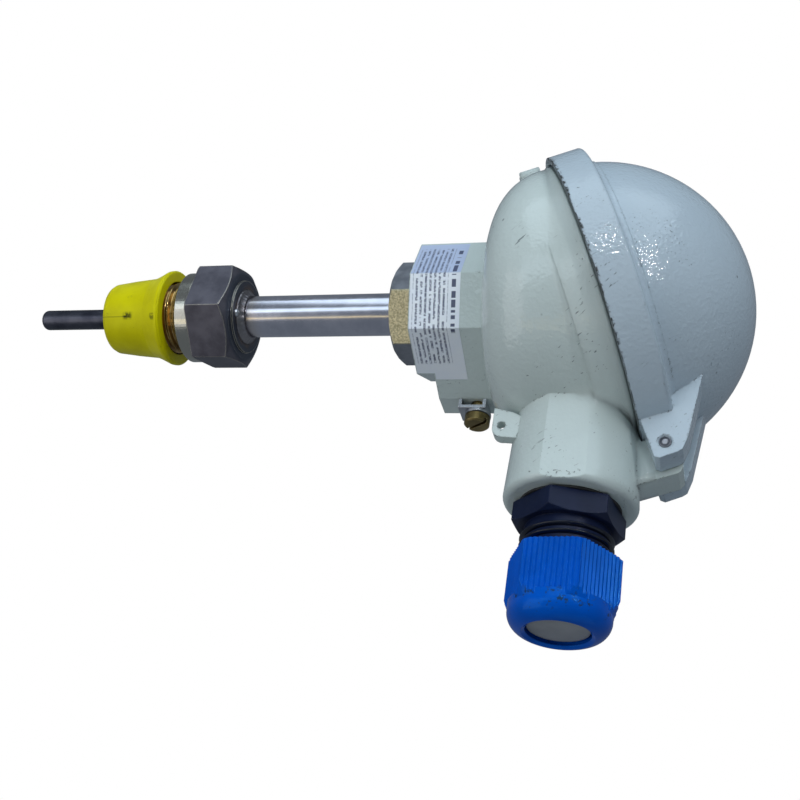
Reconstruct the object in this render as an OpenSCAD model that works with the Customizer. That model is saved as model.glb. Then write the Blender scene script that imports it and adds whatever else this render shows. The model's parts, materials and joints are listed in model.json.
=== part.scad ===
// Resistance thermometer with a connection head: a spring-loaded measuring insert in a neck tube with
// a hexagon process thread, and a die-cast head with a hinged high cover and a plastic cable gland.
// Millimetres. +Z runs along the probe from the tip to the head, +X is the side of the cable gland,
// and the origin lies on the sealing face of the process connection.

/* [Insert] */
// Diameter of the measuring insert
rod_d = 6; // [5:0.1:6.4]
// Length of the insert below the sealing face
rod_below = 49.8; // [40:0.1:120]
// Length of the rounded end of the insert
rod_round = 1.6; // [0.4:0.1:2]
// Travel of the spring-loaded insert
insert_travel = 6; // [3:0.5:7]
// Diameter of the insert's mounting plate
plate_d = 42; // [40:0.1:43]
// Thickness of the mounting plate
plate_t = 1.5; // [1:0.1:2]
// Distance between the two mounting screws
screw_pitch = 33; // [32:0.1:34]
// Length of the insert's end above the mounting plate
rod_above = 5; // [4:0.1:6]
// Diameter of the mounting screws
mount_screw_d = 4; // [3:0.1:4]
// Diameter of the mounting screws' heads
mount_head_d = 7; // [6:0.1:7.4]
// Height of the mounting screws' heads
mount_head_h = 2.4; // [1.8:0.1:3]
// Depth of the mounting screws in the head
mount_screw_in = 6.5; // [4:0.1:6.5]
// Diameter of the springs' wire
spring_wire = 0.8; // [0.6:0.1:0.9]
// Mean radius of the springs
spring_r = 3; // [2.7:0.1:3.2]
// Length of a spring beyond the insert's travel
spring_rest_l = 6.2; // [5.5:0.1:7]
// Length of the terminal clamps
clamp_l = 7.2; // [6:0.1:7.4]
// Width of the terminal clamps
clamp_w = 4.6; // [4:0.1:4.8]
// Height of the terminal clamps
clamp_h = 6; // [5:0.1:7]
// Radius on which the terminal clamps stand
clamp_ring_r = 13.2; // [12.8:0.1:13.4]
// Diameter of the lead wires
wire_d = 1.3; // [0.8:0.1:1.4]
// Bend radius of the lead wires
wire_bend = 2; // [1.5:0.1:2.2]
// Diameter of the terminal block
block_d = 38; // [36:0.1:39]
// Height of the terminal block
block_h = 9; // [7:0.1:11]

/* [Process connection] */
// Major diameter of the process thread
thread_d = 20.95; // [18:0.05:21.4]
// Length of the process thread
thread_l = 15; // [12:0.1:18]
// Diameter of the sealing collar
seal_d = 26.2; // [24:0.1:27]
// Height of the sealing collar
seal_h = 4.4; // [3:0.1:6]
// Width across flats of the process hexagon
hex_af = 27; // [26:0.1:30]
// Height of the process hexagon
hex_h = 12.4; // [10:0.1:16]
// Diameter of the raised disc on the hexagon's upper face
weld_disc_d = 21; // [16:0.1:24]
// Height of the raised disc
weld_disc_h = 0.6; // [0.3:0.1:1.5]

/* [Neck] */
// Outer diameter of the neck tube
tube_d = 12; // [11:0.1:13]
// Bore of the neck tube
tube_bore = 7.2; // [7.1:0.1:8]
// Visible length of the neck tube
neck_l = 46.9; // [30:0.1:120]
// Diameter of the threaded sleeve that enters the head
sleeve_d = 20; // [18:0.1:20.4]
// Depth to which the sleeve enters the head
sleeve_in = 17; // [12:0.1:18]
// Width across flats of the lock nut
nut_af = 25; // [24.6:0.1:27]
// Height of the lock nut
nut_h = 6.9; // [5:0.1:9]

/* [Head casting] */
// Width across flats of the octagonal collar
collar_af = 36; // [36:0.1:38]
// Height of the octagonal collar
collar_h = 21.2; // [20:0.1:26]
// Turn of the octagon's first face from the head's side
collar_turn = 26; // [22:0.5:30]
// Distance of the earthing pad's face from the probe's axis
pad_reach = 22.2; // [21.6:0.1:23]
// Width of the earthing pad
pad_w = 7.5; // [7.2:0.1:9]
// Height of the earthing pad's lower end above the collar's end
pad_up = 4.9; // [4:0.1:8]
// Outer diameter of the bowl
bowl_d = 77; // [76:0.1:78]
// Radius of the bowl's lower corner
bowl_corner = 16; // [14:0.5:18]
// Wall of the castings
wall = 3.5; // [3:0.1:3.8]
// Angle between the cover's parting plane and the probe's cross-section
tilt = 20.5; // [18:0.5:22]
// Height of the parting plane's centre above the bowl's underside
rim_up = 25.5; // [25:0.1:27]
// Outer diameter of the bowl's rim
rim_d = 82.6; // [82:0.1:84]
// Depth of the rim's flare below the parting plane
rim_under = 8; // [7:0.1:8.5]
// Height to which the rim enters the cover
rim_lip = 0.8; // [0.5:0.1:1]

/* [Cover] */
// Outer diameter of the cover's dome
dome_d = 80.2; // [79:0.1:81]
// Height of the dome's centre above the parting plane
dome_up = 1.9; // [1.5:0.1:2.5]
// Thickness of the band round the bowl's rim
band_t = 1.8; // [1.5:0.1:2.2]
// Height of the band round the cover
band_h = 9; // [8:0.1:10]
// Radius of the band's upper edge
band_round = 1; // [0.6:0.1:1.2]
// Distance of the hinge pin from the band
pin_off = 6.3; // [6.2:0.1:7]
// Height of the hinge pin above the parting plane
pin_up = 4.25; // [4:0.05:4.6]
// Diameter of the hinge pin
pin_d = 2.9; // [2.5:0.1:3]
// Width over the two hinge ears
ears_w = 22; // [20:0.1:23]
// Thickness of each hinge ear
ear_t = 6.6; // [6:0.1:7]
// Distance of the closing screw from the band
latch_off = 5.2; // [5:0.1:6.5]
// Width of the closing lugs
latch_w = 12; // [11.4:0.1:13]
// Diameter of the closing screw
latch_screw_d = 5; // [4:0.1:5]
// Diameter of the sealing ring's cord
gasket_cord = 2.8; // [2.4:0.1:3]

/* [Cable entry] */
// Height of the cable entry above the bowl's underside
gland_up = 24.2; // [23.8:0.1:24.6]
// Distance of the boss's end from the probe's axis
boss_reach = 60.3; // [59:0.1:63]
// Diameter of the boss where it leaves the bowl
boss_root_d = 30.4; // [30:0.1:32]
// Diameter of the boss at its end
boss_end_d = 33.2; // [32:0.1:34]
// Width of the flats on the boss
boss_flat_w = 10.6; // [8:0.1:12]
// Radius of the boss's outer edge
boss_round = 1.6; // [0.8:0.1:2]
// Thickness of the gland's gasket
gland_gasket_t = 0.6; // [0.4:0.1:1]
// Diameter of the gland's thread
gland_thread_d = 20; // [19:0.1:20.4]
// Width across flats of the gland's body and nut
gland_af = 24.1; // [23.8:0.1:25]
// Thickness of the gland body's hexagon
gland_hex_t = 5.8; // [5:0.1:7]
// Gap between the gland body's hexagon and the nut
gland_gap = 6.9; // [3:0.1:8]
// Length of the gland nut
gland_nut_l = 19.4; // [18:0.1:22]
// Diameter of the gland nut's mouth
gland_mouth_d = 15.5; // [14:0.1:16]
// Diameter of the blanking plug's stem and the seal's bore
plug_stem_d = 10; // [8:0.1:11]
// Length of the blanking plug's stem
plug_stem_l = 12; // [8:0.1:13]
// Number of grooves on each face of the gland nut
grooves = 11; // [9:1:13]
// Depth of the grooves
groove_depth = 0.45; // [0.2:0.05:0.6]

/* [Earthing terminal] */
// Height of the earthing screw above the collar's end
earth_up = 15.6; // [14.5:0.1:16]
// Distance of the earthing screw from the head's middle plane
earth_side = 12.6; // [12:0.1:13]
// Diameter of the earthing screw
earth_d = 4; // [3.5:0.1:4]
// Diameter of the earthing screw's head
earth_head_d = 7; // [6.6:0.1:7.4]
// Height of the saddle clip
clip_h = 2.8; // [2.4:0.1:3.4]

/* [Thread protector] */
// Length of the protector cap
cap_l = 20; // [19:0.1:24]
// Distance between the cap's mouth and the sealing face
cap_gap = 4.6; // [3:0.1:5]
// Diameter of the cap's flange
cap_flange_d = 28; // [27:0.1:30]
// Wall of the cap's closed end
cap_end = 1.6; // [1.2:0.1:2]

/* [Fits] */
// Clearance between pieces that move past each other
run_gap = 0.3; // [0.25:0.05:0.35]
// Clearance round a screw or tube that stays in its hole
seat_gap = 0.05; // [0.02:0.01:0.08]
// Radial clearance of the hinge pin in the ears
pin_gap = 0.06; // [0.04:0.01:0.08]
// Radial clearance of the closing screw in the bowl's lug
latch_gap = 0.55; // [0.5:0.05:0.7]
// Radial clearance between the cover's skirt and the bowl's rim
skirt_gap = 0.6; // [0.55:0.05:0.7]

/* [Hidden] */
$fn = 96;

// Colours of the pieces
paint = [0.80, 0.83, 0.78];
steel = [0.60, 0.60, 0.60];
bright_steel = [0.75, 0.75, 0.76];
brass = [0.70, 0.58, 0.30];
navy = [0.08, 0.09, 0.20];
blue = [0.02, 0.28, 0.75];
yellow = [0.90, 0.90, 0.05];
rubber = [0.10, 0.10, 0.10];
ceramic = [0.92, 0.90, 0.84];

// Heights along the probe
hex_top = seal_h + hex_h;
neck_z = hex_top + weld_disc_h;
nut_z = neck_z + neck_l;
collar_z = nut_z + nut_h + run_gap;
bowl_z = collar_z + collar_h;
floor_z = bowl_z + wall + 0.2;
rim_z = bowl_z + rim_up;
gland_z = bowl_z + gland_up;
plate_z = floor_z + run_gap;
block_z = plate_z + plate_t + seat_gap;
block_top = block_z + block_h;

// Bowl, rim and cover
bowl_x = 0.5;
rim_x = 1.8;
bowl_r = bowl_d / 2;
cavity_r = bowl_r - wall;
cavity_corner = bowl_corner - wall;
rim_r = rim_d / 2;
rim_in_r = cavity_r + 0.6;
flare_r = 11;
groove_r = (rim_in_r + rim_r) / 2;
groove_w = gasket_cord + 0.4;
gasket_proud = 0.4;
groove_floor = rim_lip + gasket_proud - gasket_cord - seat_gap;
skirt_r = rim_r + skirt_gap;
seal_face = rim_lip + gasket_proud + run_gap;
band_r = skirt_r + band_t;
dome_r = dome_d / 2;
dome_in_r = dome_r - wall;
pin_h = band_r + pin_off;
pin_r = pin_d / 2;
latch_h = band_r + latch_off;
latch_r = latch_w / 2;
latch_screw_r = latch_screw_d / 2;
lug_gap = run_gap;

// Hinge
knuckle_w = ears_w - 2 * ear_t - 2 * run_gap;
ear_low = 0.6;
ear_end = pin_h + 3.9;
slope_up = 14.4;
apex_h = sqrt(pow(dome_r, 2) - pow(pin_up + slope_up - dome_up, 2) - pow(ears_w / 2, 2));

// Cable gland
gland_r = gland_thread_d / 2;
boss_thread_l = 12;
boss_bore_r = gland_r - 1;
gland_hex_x = boss_reach + gland_gasket_t;
gland_neck_x = gland_hex_x + gland_hex_t;
nut_x = gland_neck_x + gland_gap;
gland_neck_r = gland_r + 0.5;
gland_bore_r = 6.5;
seal_r = 8.2;
dome_x = nut_x + gland_nut_l * 0.735;
gland_end_x = nut_x + gland_nut_l;
gland_mouth_r = gland_mouth_d / 2;
gland_neck_l = gland_gap + gland_nut_l * 0.5;

// Earthing terminal
earth_z = collar_z + earth_up;
earth_r = earth_d / 2;
clip_t = 0.9;
clip_low = earth_z - 5;
clip_high = earth_z + 2.6 + earth_r - 2;
clip_x = pad_reach + seat_gap;
washer_x = clip_x + clip_h + seat_gap;
washer_t = 0.8;
earth_head_x = washer_x + washer_t + run_gap;
earth_head_t = 2.6;

// Insert
rod_r = rod_d / 2;
spring_low = plate_z + plate_t + run_gap;
spring_turns = 5;
screw_r = mount_screw_d / 2;
screw_head_z = spring_low + insert_travel + spring_rest_l;
clamp_angles = [-38, 0, 38, 142, 180, 218];
wire_angles = [-38, 38, 142, 218];
rod_top = plate_z + plate_t + rod_above;
block_ledge = block_z + block_h - 2.5;

// Puts children in the cover's own frame: X towards the hinge, Z square to the parting plane
module cover_frame() {
    translate([rim_x, 0, rim_z]) rotate([0, -tilt, 0]) children();
}

// Turns a shape along Z to lie along X at the height of the cable entry
module gland_axis() {
    translate([0, 0, gland_z]) rotate([0, 90, 0]) children();
}

// Hexagonal prism with both ends chamfered to the round
module hex_prism(af, h, low_chamfer, high_chamfer) {
    corner = af / sqrt(3);
    intersection() {
        cylinder(r = corner, h = h, $fn = 6);
        rotate_extrude() polygon([[0, 0], [corner - low_chamfer * 1.75, 0], [corner + 0.02, low_chamfer],
            [corner + 0.02, h - high_chamfer], [corner - high_chamfer * 1.75, h], [0, h]]);
    }
}

// Slotted screw along Z: the head's underside lies at height zero
module slotted_screw(shank_r, shank_l, head_r, head_h, slot_w) {
    difference() {
        union() {
            translate([0, 0, -shank_l]) cylinder(r = shank_r, h = shank_l + 0.1);
            rotate_extrude() polygon([[0, 0], [head_r, 0], [head_r, head_h - 0.4],
                [head_r - 0.4, head_h], [0, head_h]]);
        }
        translate([-head_r - 1, -slot_w / 2, head_h * 0.5]) cube([2 * head_r + 2, slot_w, head_h]);
    }
}

module process_connection() {
    color(steel) difference() {
        union() {
            translate([0, 0, -thread_l]) rotate_extrude() polygon([[0, 0], [thread_d / 2 - 1.2, 0],
                [thread_d / 2, 1.2], [thread_d / 2, thread_l - 0.9], [thread_d / 2 - 0.9, thread_l - 0.5],
                [thread_d / 2 - 0.9, thread_l + 0.5], [0, thread_l + 0.5]]);
            rotate_extrude() polygon([[0, 0], [seal_d / 2 - 0.4, 0], [seal_d / 2, 0.4],
                [seal_d / 2, seal_h - 0.3], [seal_d / 2 - 0.6, seal_h + 0.3], [0, seal_h + 0.3]]);
            translate([0, 0, seal_h]) rotate(-7) hex_prism(hex_af, hex_h, 0.3, 1.9);
            translate([0, 0, hex_top - 0.2]) cylinder(d = weld_disc_d, h = weld_disc_h + 0.2);
        }
        translate([0, 0, -thread_l - 1]) cylinder(d = tube_bore, h = thread_l + neck_z + 2);
        translate([0, 0, seal_h + 2]) cylinder(d = tube_d + 2 * seat_gap, h = neck_z);
    }
}

module neck_tube() {
    color(bright_steel) difference() {
        union() {
            translate([0, 0, seal_h + 2 + seat_gap]) cylinder(d = tube_d, h = nut_z - seal_h - 2);
            translate([0, 0, nut_z - 0.6]) rotate_extrude() polygon([[0, 0], [sleeve_d / 2 - 1, 0],
                [sleeve_d / 2, 1], [sleeve_d / 2, collar_z - nut_z + sleeve_in],
                [sleeve_d / 2 - 1, collar_z - nut_z + sleeve_in + 0.6], [0, collar_z - nut_z + sleeve_in + 0.6]]);
        }
        translate([0, 0, seal_h]) cylinder(d = tube_bore, h = bowl_z);
    }
}

module lock_nut() {
    color(steel) translate([0, 0, nut_z]) rotate(40) difference() {
        hex_prism(nut_af, nut_h, 1, 1);
        translate([0, 0, -1]) cylinder(r = sleeve_d / 2 + run_gap, h = nut_h + 2);
    }
}

// Corner of the octagonal collar, counted from the head's front towards the cable entry
function collar_corner(k) = let(a = collar_turn - 22.5 + 45 * k, r = collar_af / 2 / cos(22.5))
    [r * sin(a), -r * cos(a)];

// Octagonal collar with the pad for the earthing terminal
module collar() {
    face = collar_turn + 45;
    pad_y = (pad_reach * sin(face) - collar_af / 2) / cos(face);
    difference() {
        translate([0, 0, collar_z]) union() {
            linear_extrude(collar_h + 6) polygon([for (k = [0:7]) collar_corner(k)]);
            translate([0, 0, pad_up]) linear_extrude(collar_h + 6 - pad_up) polygon([[0, 0],
                collar_corner(1), [pad_reach, pad_y], [pad_reach, pad_y + pad_w], [6, pad_y + pad_w]]);
        }
        translate([pad_reach - 9, earth_side, earth_z]) rotate([0, 90, 0])
            cylinder(r = earth_r + run_gap, h = 20);
    }
}

// Round profile of the bowl or its cavity, from its bottom to a height above it
module bowl_solid(r, corner, low, high) {
    translate([bowl_x, 0, low]) rotate_extrude() union() {
        square([r - corner, high - low]);
        translate([0, corner]) square([r, high - low - corner]);
        intersection() {
            translate([r - corner, corner]) circle(corner);
            square([r, corner + 1]);
        }
    }
}

module boss() {
    root_x = 26;
    half_flat = boss_flat_w / 2;
    draft = atan((boss_end_d - boss_root_d) / 2 / (boss_reach - root_x));
    difference() {
        gland_axis() translate([0, 0, root_x]) rotate_extrude() union() {
            polygon([[0, 0], [boss_root_d / 2, 0], [boss_end_d / 2, boss_reach - root_x - boss_round],
                [0, boss_reach - root_x - boss_round]]);
            square([boss_end_d / 2 - boss_round, boss_reach - root_x]);
            translate([boss_end_d / 2 - boss_round, boss_reach - root_x - boss_round]) circle(boss_round);
        }
        for (side = [-1, 1])
            translate([boss_reach, side * sqrt(pow(boss_end_d / 2, 2) - pow(half_flat, 2)), gland_z])
                rotate([0, 0, side * draft]) translate([-50, side * 5 - 5, -20]) cube([60, 10, 40]);
    }
}

// Hinge bracket of the bowl, in the cover's frame
module bracket() {
    top = pin_up + 3.05;
    front = band_r + run_gap;
    rotate([90, 0, 0]) translate([0, 0, -knuckle_w / 2]) linear_extrude(knuckle_w) polygon([
        [front - 5, -12], [pin_h + 5.3, -8.5], [pin_h + 5.4, pin_up + 1.1], [pin_h + 4.6, pin_up + 2.5],
        [pin_h + 3.2, top], [front + 1.2, top], [front, pin_up + 1], [front, -lug_gap],
        [front - 5, -lug_gap]]);
}

// Lug of the bowl or the cover for the closing screw, in the cover's frame
module latch_lug(low, high, inner) {
    translate([-latch_h, 0, low]) {
        cylinder(r = latch_r, h = high - low);
        translate([0, -latch_r, 0]) cube([latch_h - inner, latch_w, high - low]);
    }
}

// Flat eye for a sealing wire or a tag, beside the boss
module tag_eye() {
    eye_z = gland_z - 17.6;
    translate([0, -6, 0]) rotate([90, 0, 0]) linear_extrude(3) difference() {
        union() {
            polygon([[36.8, eye_z - 2.3], [42.7, eye_z - 2.3], [45.2, eye_z - 0.4], [45.6, eye_z + 5.6],
                [39.5, eye_z + 5.6], [38, eye_z + 2.4]]);
            translate([42.7, eye_z + 0.3]) circle(2.6);
        }
        translate([41.9, eye_z]) circle(1.1);
    }
}

module head_base() {
    color(paint) difference() {
        union() {
            difference() {
                union() {
                    difference() {
                        union() {
                            collar();
                            bowl_solid(bowl_r, bowl_corner, bowl_z, rim_z + 24);
                            boss();
                            tag_eye();
                        }
                        cover_frame() translate([0, 0, -lug_gap])
                            cylinder(r = band_r + run_gap + 0.2, h = 60);
                    }
                    cover_frame() bracket();
                    cover_frame() latch_lug(-6.4, -lug_gap, cavity_r);
                }
                bowl_solid(cavity_r, cavity_corner, floor_z, rim_z + 30);
                translate([0, 0, collar_z - 1]) cylinder(r = sleeve_d / 2 + seat_gap, h = sleeve_in + 1.2);
                translate([0, 0, collar_z]) cylinder(r = tube_bore / 2 + 1, h = collar_h + wall + 2);
                for (side = [-1, 1]) translate([0, side * screw_pitch / 2, floor_z - 7])
                    cylinder(r = screw_r + seat_gap, h = 8);
                gland_axis() translate([0, 0, boss_reach - boss_thread_l])
                    cylinder(r = gland_r + seat_gap, h = boss_thread_l + 1);
                gland_axis() translate([0, 0, 20]) cylinder(r = boss_bore_r, h = boss_reach - 21);
                gland_axis() translate([0, 0, boss_reach]) cylinder(r = gland_af / sqrt(3) + run_gap, h = 12);
                cover_frame() translate([pin_h, 50, pin_up]) rotate([90, 0, 0])
                    cylinder(r = pin_r + 0.02, h = 100);
                cover_frame() translate([-latch_h, 0, -20])
                    cylinder(r = latch_screw_r + latch_gap, h = 40);
            }
            cover_frame() rotate_extrude() difference() {
                translate([rim_in_r, -rim_under]) square([rim_r - rim_in_r, rim_under + rim_lip]);
                translate([bowl_r - 0.5 + flare_r, -9]) circle(flare_r);
            }
        }
        cover_frame() rotate_extrude()
            translate([groove_r - groove_w / 2, groove_floor]) square([groove_w, 5]);
    }
}

module cover_gasket() {
    color(rubber) cover_frame() translate([0, 0, groove_floor + seat_gap + gasket_cord / 2])
        rotate_extrude() translate([groove_r, 0]) circle(d = gasket_cord);
}

module hinge_pin() {
    color(bright_steel) cover_frame() translate([pin_h, -ears_w / 2 + 0.1, pin_up]) rotate([-90, 0, 0])
        rotate_extrude() polygon([[0, 0], [pin_r - 0.3, 0], [pin_r, 0.3], [pin_r, ears_w - 0.5],
            [pin_r - 0.3, ears_w - 0.2], [0, ears_w - 0.2]]);
}

module head_cover() {
    shoulder = band_r - 2.4;
    color(paint) cover_frame() difference() {
        union() {
            rotate_extrude() union() {
                intersection() {
                    translate([0, dome_up]) circle(dome_r);
                    square(100);
                }
                square([band_r, band_h - band_round]);
                square([band_r - band_round, band_h]);
                translate([band_r - band_round, band_h - band_round]) circle(band_round);
                difference() {
                    square([shoulder, band_h + 2]);
                    translate([shoulder, band_h + 2]) circle(2);
                }
            }
            for (side = [-1, 1])
                translate([0, side * (ears_w - ear_t) / 2, 0]) rotate([90, 0, 0])
                    translate([0, 0, -ear_t / 2]) linear_extrude(ear_t) polygon([
                        [dome_r - 2, ear_low], [ear_end - 0.9, ear_low], [ear_end, ear_low + 1],
                        [ear_end - 0.2, pin_up + 1.8], [ear_end - 0.6, pin_up + 3.2],
                        [pin_h + 0.3, pin_up + 5.6], [apex_h, pin_up + slope_up], [dome_r - 3, band_h]]);
            latch_lug(lug_gap, band_h, dome_r - 2);
        }
        rotate_extrude() union() {
            intersection() {
                translate([0, dome_up]) circle(dome_in_r);
                square(100);
            }
            square([dome_in_r, dome_up]);
            translate([0, -1]) square([skirt_r, seal_face + 1]);
        }
        translate([pin_h, 50, pin_up]) rotate([90, 0, 0]) cylinder(r = pin_r + pin_gap, h = 100);
        for (side = [-1, 1])
            translate([pin_h, side * ears_w / 2, pin_up]) rotate([side * 90, 0, 0])
                translate([0, 0, -0.01]) cylinder(r1 = pin_r + 0.45, r2 = pin_r, h = 0.5);
        translate([-latch_h, 0, -1]) cylinder(r = latch_screw_r + 0.1, h = band_h + 2);
    }
}

module closing_screw() {
    color(bright_steel) cover_frame() translate([-latch_h, 0, band_h + run_gap])
        slotted_screw(latch_screw_r, band_h + 5, latch_screw_r + 1.8, 3.6, 1.3);
}

module gland_gasket() {
    color(rubber) gland_axis() translate([0, 0, boss_reach + seat_gap]) difference() {
        cylinder(r = gland_r + 2.6, h = gland_gasket_t - 2 * seat_gap);
        translate([0, 0, -1]) cylinder(r = gland_r + 0.1, h = 3);
    }
}

module gland_body() {
    color(navy) gland_axis() difference() {
        union() {
            translate([0, 0, boss_reach - boss_thread_l + 1]) cylinder(r = gland_r, h = boss_thread_l + 1);
            translate([0, 0, gland_hex_x]) rotate(-18) hex_prism(gland_af, gland_hex_t, 0.1, 1);
            translate([0, 0, gland_neck_x - 0.1]) cylinder(r = gland_neck_r, h = gland_neck_l);
        }
        translate([0, 0, boss_reach - boss_thread_l]) cylinder(r = gland_bore_r, h = 60);
        translate([0, 0, gland_neck_x + 4]) cylinder(r = seal_r, h = 60);
    }
}

module gland_seal() {
    seal_x = gland_neck_x + 4 + seat_gap;
    seal_l = dome_x - seal_x + 2;
    color(rubber) gland_axis() translate([0, 0, seal_x]) difference() {
        cylinder(r = seal_r - seat_gap, h = seal_l);
        translate([0, 0, -1]) cylinder(d = plug_stem_d, h = seal_l + 2);
    }
}

module blanking_plug() {
    plug_x = dome_x + 2 + 2 * seat_gap;
    head_r = gland_mouth_r - run_gap;
    color([0.85, 0.86, 0.86]) gland_axis() translate([0, 0, plug_x]) union() {
        translate([0, 0, -plug_stem_l]) cylinder(r = plug_stem_d / 2 - seat_gap, h = plug_stem_l + 0.1);
        cylinder(r = head_r, h = gland_end_x - plug_x - 1.6);
    }
}

// Hexagon of the gland nut with grooves along its faces
function grooved_face(k) = [for (i = [0:2 * grooves]) let(
        u = (i / (2 * grooves) - 0.5) * gland_af / sqrt(3),
        v = gland_af / 2 - (i % 2 == 1 ? groove_depth : 0))
    [v * cos(60 * k) - u * sin(60 * k), v * sin(60 * k) + u * cos(60 * k)]];

module gland_nut() {
    corner = gland_af / sqrt(3);
    cap_r = gland_af / 2 + 0.3;
    hex_l = dome_x - nut_x;
    round_r = 4.5;
    full_l = gland_nut_l;
    color(blue) gland_axis() translate([0, 0, nut_x]) difference() {
        union() {
            intersection() {
                rotate(35.6) linear_extrude(hex_l)
                    polygon([for (k = [0:5]) each [for (i = [0:2 * grooves - 1]) grooved_face(k)[i]]]);
                rotate_extrude() polygon([[0, 0], [corner - 0.9, 0], [corner + 0.1, 0.6],
                    [corner + 0.1, hex_l - 3.6], [cap_r, hex_l], [0, hex_l]]);
            }
            rotate_extrude() union() {
                translate([0, hex_l - 1.5]) square([cap_r, full_l - hex_l + 1.5 - round_r]);
                translate([0, hex_l - 1.5]) square([cap_r - round_r, full_l - hex_l + 1.5]);
                translate([cap_r - round_r, full_l - round_r]) circle(round_r);
            }
        }
        translate([0, 0, -1]) cylinder(r = gland_neck_r + run_gap, h = gland_neck_l - gland_gap + 2);
        translate([0, 0, gland_neck_l - gland_gap]) cylinder(r1 = gland_neck_r + run_gap,
            r2 = seal_r + run_gap, h = 2.1);
        translate([0, 0, gland_neck_l - gland_gap + 2]) cylinder(r = seal_r + run_gap,
            h = hex_l + 2.3 - gland_neck_l + gland_gap);
        cylinder(r = gland_mouth_r, h = full_l + 1);
        translate([0, 0, full_l - 0.6]) cylinder(r1 = gland_mouth_r, r2 = gland_mouth_r + 1, h = 0.61);
    }
}

module earth_clip() {
    color(bright_steel) translate([clip_x, earth_side - 3.5, clip_low]) difference() {
        cube([clip_h, 7, clip_high - clip_low]);
        translate([-1, -1, clip_t]) cube([clip_h - clip_t + 1, 9, clip_high - clip_low - 2 * clip_t]);
        translate([-1, 3.5, earth_z - clip_low]) rotate([0, 90, 0]) cylinder(r = earth_r + run_gap, h = 10);
    }
}

module earth_washer() {
    color(bright_steel) translate([washer_x, earth_side, earth_z]) rotate([0, 90, 0]) difference() {
        cylinder(r = earth_head_d / 2 + 0.1, h = washer_t);
        translate([0, 0, -1]) cylinder(r = earth_r + run_gap, h = washer_t + 2);
    }
}

module earth_screw() {
    color(brass) translate([earth_head_x, earth_side, earth_z]) rotate([0, 90, 0]) rotate(35)
        slotted_screw(earth_r, 11.5, earth_head_d / 2, earth_head_t, 1);
}

module thread_cap() {
    mouth = -cap_gap;
    low = mouth - cap_l;
    bore_r = thread_d / 2 + run_gap;
    flange_r = cap_flange_d / 2;
    color(yellow) rotate_extrude() polygon([[rod_r + 0.4, low], [bore_r - 1.9, low],
        [bore_r - 0.9, low + 0.3], [bore_r - 0.4, low + 1.2], [bore_r + 0.4, low + 7.3],
        [bore_r + 1.05, mouth - 6], [bore_r + 1.65, mouth - 4.4], [flange_r - 0.8, mouth - 2.7],
        [flange_r - 0.1, mouth - 1.3], [flange_r, mouth - 0.5], [flange_r - 0.5, mouth], [bore_r, mouth],
        [bore_r, -thread_l - 0.6], [bore_r - 1.5, low + cap_end + 0.6], [bore_r - 2.1, low + cap_end],
        [rod_r + 0.4, low + cap_end]]);
}

module insert_rod() {
    color(bright_steel) translate([0, 0, -rod_below]) rotate_extrude() union() {
        translate([0, rod_round]) square([rod_r, rod_below + rod_top - rod_round]);
        square([rod_r - rod_round, rod_round + 1]);
        intersection() {
            translate([rod_r - rod_round, rod_round]) circle(rod_round);
            square([rod_r, rod_round + 1]);
        }
    }
}

module insert_plate() {
    color(bright_steel) translate([0, 0, plate_z]) difference() {
        cylinder(d = plate_d, h = plate_t);
        translate([0, 0, -1]) cylinder(r = rod_r + 0.02, h = plate_t + 2);
        for (side = [-1, 1])
            translate([0, side * screw_pitch / 2, -1]) cylinder(r = screw_r + run_gap, h = plate_t + 2);
    }
}

module terminal_block() {
    color(ceramic) translate([0, 0, block_z]) difference() {
        union() {
            cylinder(d = block_d, h = block_h - 2.5);
            intersection() {
                cylinder(d = block_d, h = block_h);
                union() {
                    for (a = [-19, 19, 161, 199])
                        rotate(a) translate([8, -0.6, 0]) cube([block_d / 2, 1.2, block_h]);
                    difference() {
                        cylinder(r = 8.4, h = block_h - 1);
                        translate([0, 0, -1]) cylinder(r = 5, h = 20);
                    }
                }
            }
        }
        translate([0, 0, -1]) cylinder(r = 5, h = block_h + 2);
        for (side = [-1, 1]) translate([0, side * screw_pitch / 2, -1]) {
            cylinder(r = spring_r + spring_wire / 2 + 0.8, h = block_h + 2);
            translate([-4.2, side > 0 ? 0 : -10, 0]) cube([8.4, 10, block_h + 2]);
        }
    }
}

// Puts children on the terminal block's top, one at each angle
module at_clamps(angles, r) {
    for (a = angles) rotate(a) translate([r, 0, block_ledge + seat_gap]) children();
}

module terminal_clamps() {
    color(brass) at_clamps(clamp_angles, clamp_ring_r) difference() {
        translate([-clamp_l / 2, -clamp_w / 2, 0]) cube([clamp_l, clamp_w, clamp_h]);
        translate([-clamp_l, 0, 2.2]) rotate([0, 90, 0]) cylinder(d = wire_d + 0.7, h = 2 * clamp_l);
        translate([0, 0, 1]) cylinder(d = clamp_w * 0.65, h = clamp_h);
    }
}

module terminal_screws() {
    color(steel) at_clamps(clamp_angles, clamp_ring_r) translate([0, 0, clamp_h + seat_gap])
        slotted_screw(clamp_w * 0.31, clamp_h * 0.4, clamp_w * 0.5, clamp_w * 0.32, clamp_w * 0.15);
}

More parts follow.
